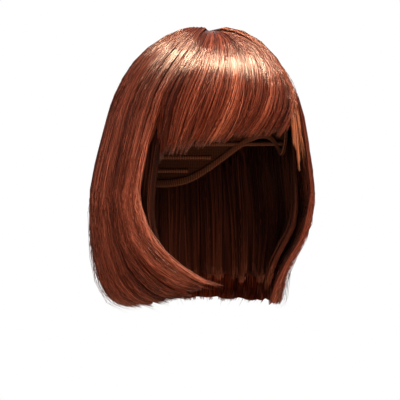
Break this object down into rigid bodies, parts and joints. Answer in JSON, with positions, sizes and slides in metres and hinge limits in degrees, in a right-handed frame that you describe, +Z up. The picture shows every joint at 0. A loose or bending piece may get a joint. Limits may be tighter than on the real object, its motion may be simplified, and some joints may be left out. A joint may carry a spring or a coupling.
{
  "type": "wig with bangs",
  "caption": "Chin-length bob wig with a full fringe, ends curled under and forward, on a stretch cap that is open below for the head.",
  "frame": {"origin": "top of the wearer's head, where the inside of the cap rests on it", "axes": "+Z up along the head; the face looks along -Y; +X is the wearer's left"},
  "size_m": [0.2191, 0.2222, 0.2785],
  "materials": {
    "cap_net": "fine stretch net, matt",
    "cap_binding": "woven elastic binding, matt",
    "hair": "shiny synthetic fibre, copper auburn",
    "hair_light": "shiny synthetic fibre, light copper",
    "hair_under": "shiny synthetic fibre, dark auburn"
  },
  "bodies": {
    "root": {"cap": "cap_net", "cap_band": "cap_binding", "bangs": "hair", "temple_lock": "hair_light", "side_right": "hair", "side_left": "hair", "back": "hair", "under_right": "hair_under", "under_left": "hair_under", "nape": "hair_under"}
  },
  "joints": []
}
